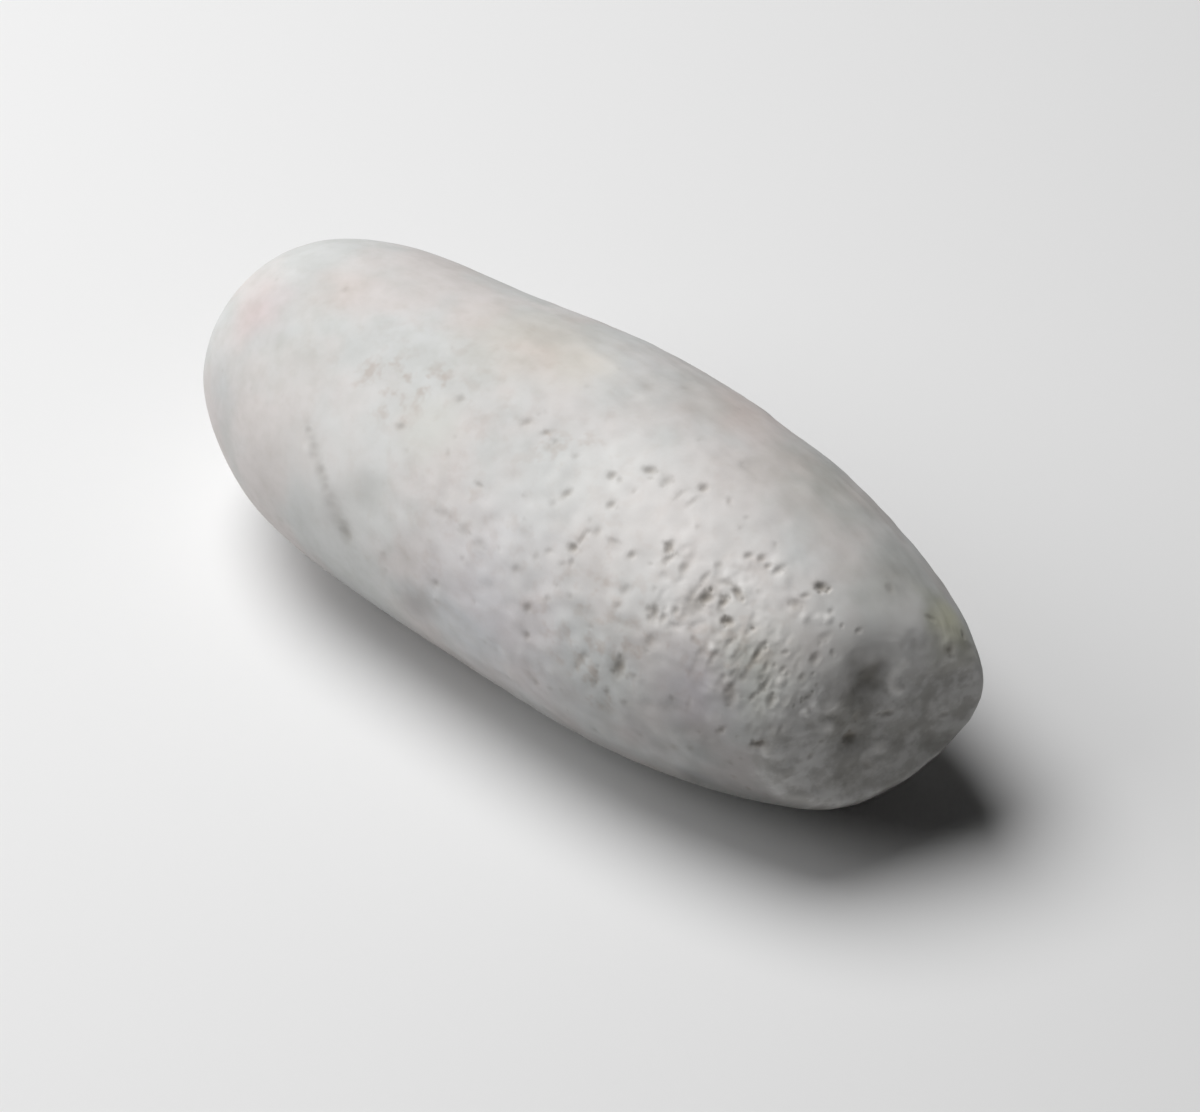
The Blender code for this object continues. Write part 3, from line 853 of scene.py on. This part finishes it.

# %% [markdown]
# ## What the colour needs to know
# The colour depends on how much grime a point holds, with painted shade in the hollows, how
# far it stands out as a crest, paler partly from rubbing and partly as painted light, how much
# it belongs to the worn end, whose grey is partly painted shade, how freckled it is, and how
# far it lies on the underside, which gets painted shade. These are stored on the points as
# attributes, from 0 to 1, and the material reads them by name. The shape is then done, so
# the mesh is shaded smooth.

# %% Store the attributes
WORN_EDGE, WORN_EDGE_BREAK = (-0.9, 0.5), 0.4
# The height over which the worn end's grey, partly painted shade, gives way to the pale top.
WORN_FADES = (17.5, 24.0)
# Dips in the skin's relief get darker too: painted shade in its small hollows.
RELIEF_DIP_DARKENING = 1.2
CREST_HEIGHT, RELIEF_IN_CRESTS = 0.14, 0.5
DARKENING_HIDES_CREST, CREST_SHARE = 0.5, 0.5
# The underside is darkened with painted shade, from near the tail and a little more towards the
# nose.
FACES_DOWN, DUSKY_AT_FIRST = (0.1, 0.6), 0.75
DUSKY_FROM, DUSKIER_FROM = (-30.0, -14.0), (8.0, 30.0)

grime_and_hollow_shade = np.clip(grime_and_hollow_shade + RELIEF_DIP_DARKENING * np.clip(-relief, 0, None), 0, 1)
# Crests are painted paler: partly rubbed, partly painted light on what stands up.
stands_out = raised + RELIEF_IN_CRESTS * np.clip(relief, 0, None)
crest_and_highlight = np.clip(stands_out / CREST_HEIGHT, 0, 1) * np.clip(1 - grime_and_hollow_shade / DARKENING_HIDES_CREST, 0, 1)
crest_and_highlight = CREST_SHARE * crest_and_highlight
# The worn end's grey is partly its own and partly painted shade, as the end faces away from the
# lamps.
worn = soft_step(past_end + WORN_EDGE_BREAK * bend, *WORN_EDGE)
worn = worn * (1 - soft_step(points[:, 2], *WORN_FADES))
freckled = patch_share(points, FRECKLED_PATCHES)
# Painted shade on what faces down, growing towards the nose.
underside_shade = DUSKY_AT_FIRST * soft_step(points[:, 0], *DUSKY_FROM)
underside_shade += (1 - DUSKY_AT_FIRST) * soft_step(points[:, 0], *DUSKIER_FROM)
underside_shade *= soft_step(-normals[:, 2], *FACES_DOWN)
stored = {"grime_and_hollow_shade": grime_and_hollow_shade, "crest_and_highlight": crest_and_highlight, "worn_end_and_shade": worn, "freckled": freckled, "underside_shade": underside_shade}
for name, values in stored.items():
    attribute = stone.data.attributes.new(name, "FLOAT", "POINT")
    attribute.data.foreach_set("value", values.astype(np.float32))
work_on(stone)
bpy.ops.object.shade_smooth()
print("stored", list(stored))

# %% [markdown]
# ## Chalk
# Chalk is a soft, pure limestone made of the shells of tiny plankton. Its grains are finer
# than a micron, so it scatters light every way and has no gloss: a plain diffuse white with
# a roughness near one. It is never even. Iron stains it in faint peach, algae in grey-green,
# and its pores hold grime. The material also paints shade in the hollows, on the underside
# and on the worn end, and paints light on the crests.

# %% Helpers for materials
def linear(hex_code):
    """The linear colour of an sRGB hex value, by the standard's own curve."""
    shares = [int(hex_code[at : at + 2], 16) / 255 for at in (1, 3, 5)]
    return (*[s / 12.92 if s <= 0.04045 else ((s + 0.055) / 1.055) ** 2.4 for s in shares], 1.0)


def add_node(tree, kind, settings, inputs):
    """Adds a node, sets its settings, and sets or links its inputs."""
    node = tree.nodes.new(kind)
    for name, value in settings.items():
        setattr(node, name, value)
    for key, value in inputs.items():
        socket = node.inputs[key]
        if isinstance(value, bpy.types.NodeSocket):
            tree.links.new(value, socket)
        else:
            socket.default_value = value
    return node


def new_material(name, roughness, ior):
    """A material with a Principled BSDF, whose even values are set on the shader itself."""
    material = bpy.data.materials.new(name)
    material.use_nodes = True
    shader = material.node_tree.nodes["Principled BSDF"]
    shader.inputs["Roughness"].default_value = roughness
    shader.inputs["IOR"].default_value = ior
    shader.inputs["Metallic"].default_value = 0.0
    return material, material.node_tree, shader


# The Mix node's colour sockets have the same names as its number sockets.
MIX_FACTOR, MIX_A, MIX_B, MIX_RESULT = 0, 6, 7, 2
print("white is", [round(value, 2) for value in linear("#FFFFFF")])

# %% [markdown]
# The colour is built up in layers, from broad to fine: two body tints in patches, soft
# mottles, stains where the real stone has them and a few spots of painted shade, the grey of
# the worn end, partly painted shade, pale crests, partly painted light, painted shade on the
# underside, and last the grime in the pits, with painted shade in them. A stain or shade spot
# fades out from its middle, and covers or tints what is below it.

# %% List the tints, the stains and the painted shade
# The worn end's grey is partly its own and partly painted shade. The crests' pale is partly painted
# light, the underside's grey is painted shade, and the pits' grime colour also paints their shade.
CHALK_WARM, CHALK_COOL, CHALK_WORN_AND_SHADED = "#DCD7D5", "#D6D7D6", "#CDCCCA"
MOTTLE, SPECKLE, END_MOTTLE = "#F6F6F5", "#FBFBFA", "#DFDEDC"
FRECKLE, CREST_PALE_AND_LIT, UNDERSIDE_SHADE_GREY, PIT_GRIME_AND_SHADE = "#ECE4DF", "#F2F0ED", "#ACABAA", "#8C857B"
# Size in mm, detail, and the two values of the noise that become 0 and 1.
TINT_CLOUD, MOTTLE_CLOUD = (9.0, 2.0, 0.35, 0.65), (3.2, 3.0, 0.7, 0.3)
SPECKLE_CLOUD, FRECKLE_CLOUD = (1.1, 2.0, 0.6, 0.25), (1.5, 2.0, 0.46, 0.72)
END_CLOUD = (1.8, 3.0, 0.62, 0.38)
COVER, TINT = "MIX", "MULTIPLY"
# Place, radius, colour, how it is laid on, and how strongly, where that isn't fully.
# Most are stains; the rows marked below are painted shade.
SIDE_STAINS_AND_SHADE = (
    (9.5, 20, 9.5, "#F0EFED", COVER, 0.65), (17.5, 28, 12.0, "#F1EEEC", COVER, 0.75),
    (24.5, 26, 6.5, "#F4F1EF", COVER, 0.5), (4.0, 57, 12.0, "#EEEDEB", COVER, 0.6),
    (6.2, 61, 4.0, "#F2F2F1", TINT), (22.5, 47, 7.0, "#ECEBE9", COVER, 0.25),
    (-15.0, 62, 12.0, "#E9E8E6", COVER, 0.5), (32.0, 62, 5.5, "#EDECEA", COVER, 0.68),
    (-33.0, 40, 10.0, "#F7F8F8", TINT), (-31.5, 31, 5.5, "#FFF4F5", TINT, 0.9),
    (-32.0, 70, 6.0, "#F2F2F3", TINT), (-25.0, 36, 7.0, "#F4F8F7", TINT, 0.8),
    (-8.4, 37, 5.0, "#DADBD6", COVER, 0.7), (0.2, 8, 5.5, "#DFDAD8", COVER, 0.7),
    (-1.0, -8, 5.5, "#E8E3DB", COVER, 0.5), (-26.0, 9, 5.0, "#F6F1EE", TINT, 0.7),
    (-7.0, -9, 10.0, "#FBF4EC", TINT, 0.8), (10.0, -30, 8.0, "#F8EFEB", TINT, 0.8),
    # Both stains on the next line darken the top towards the nose: painted shade that widens the
    # worn end's shade.
    (22.0, -28, 9.0, "#EBE9E5", TINT), (34.0, -14, 8.0, "#E5E4E1", TINT),
    (33.0, -11, 1.7, "#E6E6E4", TINT, 0.9), (35.0, -28, 2.2, "#E8E9E2", TINT, 0.9),
    (-11.4, 66, 3.6, "#EDEDEC", TINT, 0.8), (-14.5, 77, 3.0, "#E9E8E8", TINT, 0.8),
    # The second stain on the next line is a faint cool painted shade on the low front.
    (25.0, 68, 6.0, "#F2EFF5", TINT), (4.0, 78, 14.0, "#FAFAFF", TINT),
    (28.0, 54, 7.0, "#F6F7F2", TINT), (28.8, 37, 4.0, "#EBEBE8", COVER, 0.6),
    # The second stain on the next line and both on the one after are painted shade, neutral grey,
    # on the low front near the nose.
    (31.0, 20, 3.2, "#EDECEA", COVER, 0.5), (24.0, 92, 13.0, "#E4E4E5", TINT),
    (31.0, 102, 11.0, "#D5D5D5", TINT), (14.0, 102, 9.0, "#E9E9EA", TINT),
    (-4.5, 93, 3.6, "#DEDEDF", TINT, 0.9), (20.3, 95, 2.6, "#E2E2E3", TINT, 0.9),
    (24.8, 112, 3.0, "#E2E2E2", TINT, 0.9),
)
# Most of these are painted shade on the worn end, which faces away from the lamps: a broad
# darkening of it, dark blotches in its dents, which are partly stain, and a darker lower edge where
# the floor lights it. The lighter covers near its top are painted light that softens the edge of
# that shade. The olive and grey-olive spots near its right edge are stains.
END_STAINS_AND_SHADE = (
    (-0.5, 11.0, 11.0, "#E1E1E0", TINT), (0.7, 23.0, 5.6, "#EEEDEB", COVER, 0.8),
    (5.0, 25.0, 4.5, "#EAEAE9", TINT, 0.9), (-5.5, 23.0, 3.5, "#E6E5E2", COVER, 0.6),
    (4.6, 20.8, 4.2, "#E8E7DA", COVER, 0.85), (5.6, 22.0, 3.0, "#F4F4E4", TINT),
    (3.5, 22.8, 1.9, "#DEDFD6", TINT, 0.9), (5.7, 20.3, 1.8, "#DCDCD2", TINT, 0.9),
    (-9.6, 19.0, 3.6, "#E4E3E1", COVER, 0.6), (-3.0, 20.2, 3.4, "#BCBBB9", TINT),
    (-6.0, 17.8, 3.6, "#DCDBD8", TINT), (-5.0, 15.0, 3.2, "#C6C5C2", TINT),
    (-5.8, 11.0, 3.2, "#E8E7E5", TINT), (-3.0, 4.0, 7.0, "#E2E2E2", TINT),
    (4.0, 9.0, 5.0, "#E0E0DF", TINT),
)
print("first tint", [round(value, 2) for value in linear(CHALK_WARM)])

# %% [markdown]
# Every pattern reads the object's coordinates, so it stays on the stone when the stone moves.
# A layer is a share, a colour and a way to lay it on. A cloud gives a share by noise, and an
# attribute gives one by what was stored.

# %% Start the chalk
CHALK_ROUGHNESS, CHALK_IOR, CHALK_SPECULAR = 0.95, 1.5, 0.15
CLOUD_ROUGHNESS = 0.55
SMOOTH = {"interpolation_type": "SMOOTHSTEP"}

chalk, tree, shader = new_material("chalk_sea_worn", CHALK_ROUGHNESS, CHALK_IOR)
shader.inputs["Specular IOR Level"].default_value = CHALK_SPECULAR
place = add_node(tree, "ShaderNodeTexCoord", {}, {}).outputs["Object"]
held = {
    name: add_node(tree, "ShaderNodeAttribute", {"attribute_name": name}, {}).outputs["Fac"]
    for name in stored
}


def cloud(size_mm, detail, low, high, most=1.0):
    """Noise in lumps of a size, stretched so that low becomes 0 and high the most."""
    look = {"Scale": MM_PER_METRE / size_mm, "Detail": detail, "Roughness": CLOUD_ROUGHNESS}
    raw = add_node(tree, "ShaderNodeTexNoise", {}, {"Vector": place, **look})
    ends = {"Value": raw.outputs["Fac"], "From Min": low, "From Max": high, "To Max": most}
    return add_node(tree, "ShaderNodeMapRange", SMOOTH, ends).outputs["Result"]


def painted(colour, layers):
    """Lays each layer over what is below it, as strongly as its share says."""
    for share, tint, blend in layers:
        settings = {"data_type": "RGBA", "blend_type": blend}
        sockets = {MIX_FACTOR: share, MIX_A: colour, MIX_B: tint}
        colour = add_node(tree, "ShaderNodeMix", settings, sockets).outputs[MIX_RESULT]
    return colour


print("started", chalk.name, "with", list(held))

# %% [markdown]
# A round stain or shade spot would look painted on. So the distance to its middle is measured
# from where noise has pushed each point, which bends the spot's edge.

# %% Make the stains and the spots of painted shade
WANDER_MM, WANDER_DETAIL, SPOT_WANDER = 3.5, 2.0, 1.6

look = {"Vector": place, "Scale": MM_PER_METRE / WANDER_MM, "Detail": WANDER_DETAIL}
wander = add_node(tree, "ShaderNodeTexNoise", {}, look)
# The noise's colour goes from 0 to 1 on each axis, and the push from -wander to +wander.
span, start = (2 * SPOT_WANDER * MM,) * 3, (-SPOT_WANDER * MM,) * 3
push = {0: wander.outputs["Color"], 1: span, 2: start}
centred = add_node(tree, "ShaderNodeVectorMath", {"operation": "MULTIPLY_ADD"}, push)
both = {0: place, 1: centred.outputs["Vector"]}
wandering = add_node(tree, "ShaderNodeVectorMath", {"operation": "ADD"}, both).outputs["Vector"]


def soft_spot(centre, radius, tint, blend, strength=1.0):
    """The layer of one soft spot, a stain or painted shade, which fades out at the radius."""
    ends = {0: wandering, 1: centre * MM}
    apart = add_node(tree, "ShaderNodeVectorMath", {"operation": "DISTANCE"}, ends)
    fade = {"From Min": radius * MM, "From Max": 0.0, "To Max": strength}
    fade["Value"] = apart.outputs["Value"]
    share = add_node(tree, "ShaderNodeMapRange", SMOOTH, fade).outputs["Result"]
    return share, linear(tint), blend


side_stains_and_shade = [soft_spot(row[0], *row[2:]) for row in placed(SIDE_STAINS_AND_SHADE, place_on_side)]
end_stains_and_shade = [soft_spot(row[0], *row[2:]) for row in placed(END_STAINS_AND_SHADE, place_on_end)]
print(len(side_stains_and_shade) + len(end_stains_and_shade), "stains")

# %% [markdown]
# The layers go on from the lowest to the highest. The grime, with painted shade in the pits and
# hollows, is last, as it lies on top of all.

# %% Lay the colours on
end_grey_and_shade = painted(linear(CHALK_WORN_AND_SHADED), [(cloud(*END_CLOUD), linear(END_MOTTLE), TINT)])
layers = [
    (cloud(*TINT_CLOUD), linear(CHALK_COOL), COVER),
    (cloud(*MOTTLE_CLOUD), linear(MOTTLE), TINT),
    (cloud(*SPECKLE_CLOUD), linear(SPECKLE), TINT),
    (cloud(*FRECKLE_CLOUD, held["freckled"]), linear(FRECKLE), TINT),
    # Stains, and a few spots of painted shade.
    *side_stains_and_shade,
    # The worn end's grey: partly its own, partly painted shade.
    (held["worn_end_and_shade"], end_grey_and_shade, COVER),
    # Painted shade on the worn end, with a few stains and some painted light.
    *end_stains_and_shade,
    # Paler crests: partly rubbed, partly painted light.
    (held["crest_and_highlight"], linear(CREST_PALE_AND_LIT), COVER),
    # Painted shade on what faces down.
    (held["underside_shade"], linear(UNDERSIDE_SHADE_GREY), TINT),
    # Grime in the pits and hollows, with painted shade.
    (held["grime_and_hollow_shade"], linear(PIT_GRIME_AND_SHADE), COVER),
]
body = painted(linear(CHALK_WARM), layers)
tree.links.new(body, shader.inputs["Base Color"])
print(len(layers), "layers over the first tint")

# %% [markdown]
# Bump adds only what is too fine for the mesh, the powdery tooth of a surface worn by sand.
# Real grains are too fine to see, so the tooth is drawn coarser.

# %% Powdery tooth
TOOTH_MM, TOOTH_HEIGHT, TOOTH_STRENGTH = 0.6, 0.02, 0.35
TOOTH_DETAIL, TOOTH_ROUGHNESS = 3.0, 0.6

look = {"Scale": MM_PER_METRE / TOOTH_MM, "Detail": TOOTH_DETAIL, "Roughness": TOOTH_ROUGHNESS}
tooth = add_node(tree, "ShaderNodeTexNoise", {}, {"Vector": place, **look})
height = {"Strength": TOOTH_STRENGTH, "Distance": TOOTH_HEIGHT * MM, "Height": tooth.outputs["Fac"]}
bump = add_node(tree, "ShaderNodeBump", {}, height)
tree.links.new(bump.outputs["Normal"], shader.inputs["Normal"])
stone.data.materials.clear()
stone.data.materials.append(chalk)
print("chalk:", len(tree.nodes), "nodes")

# %% [markdown]
# ## Floor and light
# The stone lies on a plain pale floor. The main lamp is high on the tail's side, so the top
# is bright and the worn end is in shade. A weaker lamp lower down on the near side keeps the
# front from going dull.

# %% Floor, lights and world
FLOOR_SIZE, FLOOR_CUTS = 6.0, 8
PAPER, PAPER_ROUGHNESS, PAPER_IOR = "#EEEEEE", 0.9, 1.5
LAMP_DISTANCE, LAMP_SIZE = 0.6, 0.4
# Name, azimuth, elevation, power in watts.
LAMPS = (("main_lamp", 182.0, 65.0, 3.05), ("front_lamp", 225.0, 40.0, 1.05))
SKY, SKY_STRENGTH = "#F7F8FA", 0.02

bpy.ops.object.select_all(action="DESELECT")
bpy.ops.mesh.primitive_plane_add(size=FLOOR_SIZE)
floor = bpy.context.object
floor.name = "pale_floor"
bpy.ops.object.mode_set(mode="EDIT")
bpy.ops.mesh.subdivide(number_cuts=FLOOR_CUTS)
bpy.ops.object.mode_set(mode="OBJECT")
paper, _, paper_shader = new_material("matt_pale_floor", PAPER_ROUGHNESS, PAPER_IOR)
paper_shader.inputs["Base Color"].default_value = linear(PAPER)
floor.data.materials.append(paper)

for name, azimuth, elevation, power in LAMPS:
    way = Vector(facing(azimuth, elevation))
    bpy.ops.object.light_add(type="AREA", location=way * LAMP_DISTANCE)
    lamp = bpy.context.object
    lamp.name = name
    lamp.rotation_euler = way.to_track_quat("Z", "Y").to_euler()
    lamp.data.shape = "DISK"
    lamp.data.size = LAMP_SIZE
    lamp.data.energy = power
    print(name, power, "W")

world = bpy.data.worlds.new("soft_room")
bpy.context.scene.world = world
world.use_nodes = True
sky = world.node_tree.nodes["Background"]
sky.inputs["Color"].default_value = linear(SKY)
sky.inputs["Strength"].default_value = SKY_STRENGTH
bpy.context.scene.view_settings.view_transform = "Standard"

# %% [markdown]
# ## Camera
# The picture looks down at 45 degrees, from 40 degrees round to the nose's side of the
# stone's front. A long lens from a third of a metre keeps the two ends in scale with each
# other. The camera is set back from the point that it looks at, along its own axis.

# %% Camera
VIEW_AZIMUTH, VIEW_ELEVATION = 39.92, 45.0
AIM_HEIGHT, AIM_RIGHT, AIM_UP = 15.0, 2.10, -3.81
LENS, SENSOR, CLIP_START = 120.0, 36.0, 0.01
IMAGE_WIDTH = 1200
PIXELS_PER_MM = 11.144

turn, rise = math.radians(VIEW_AZIMUTH), math.radians(VIEW_ELEVATION)
back = Vector((math.sin(turn) * math.cos(rise), -math.cos(turn) * math.cos(rise), math.sin(rise)))
right = Vector((math.cos(turn), math.sin(turn), 0.0))
up = back.cross(right)
distance = LENS / SENSOR * IMAGE_WIDTH / PIXELS_PER_MM
aim = Vector((0, 0, AIM_HEIGHT)) + right * AIM_RIGHT + up * AIM_UP
bpy.ops.object.camera_add(location=(aim + back * distance) * MM)
camera = bpy.context.object
camera.name = "view_camera"
camera.rotation_euler = back.to_track_quat("Z", "Y").to_euler()
camera.data.lens = LENS
camera.data.sensor_width = SENSOR
camera.data.clip_start = CLIP_START
bpy.context.scene.camera = camera
print("camera", round(distance), "mm from the stone")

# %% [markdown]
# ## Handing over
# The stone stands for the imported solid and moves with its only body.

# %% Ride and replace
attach(stone, "root")
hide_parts("chalk_stone")
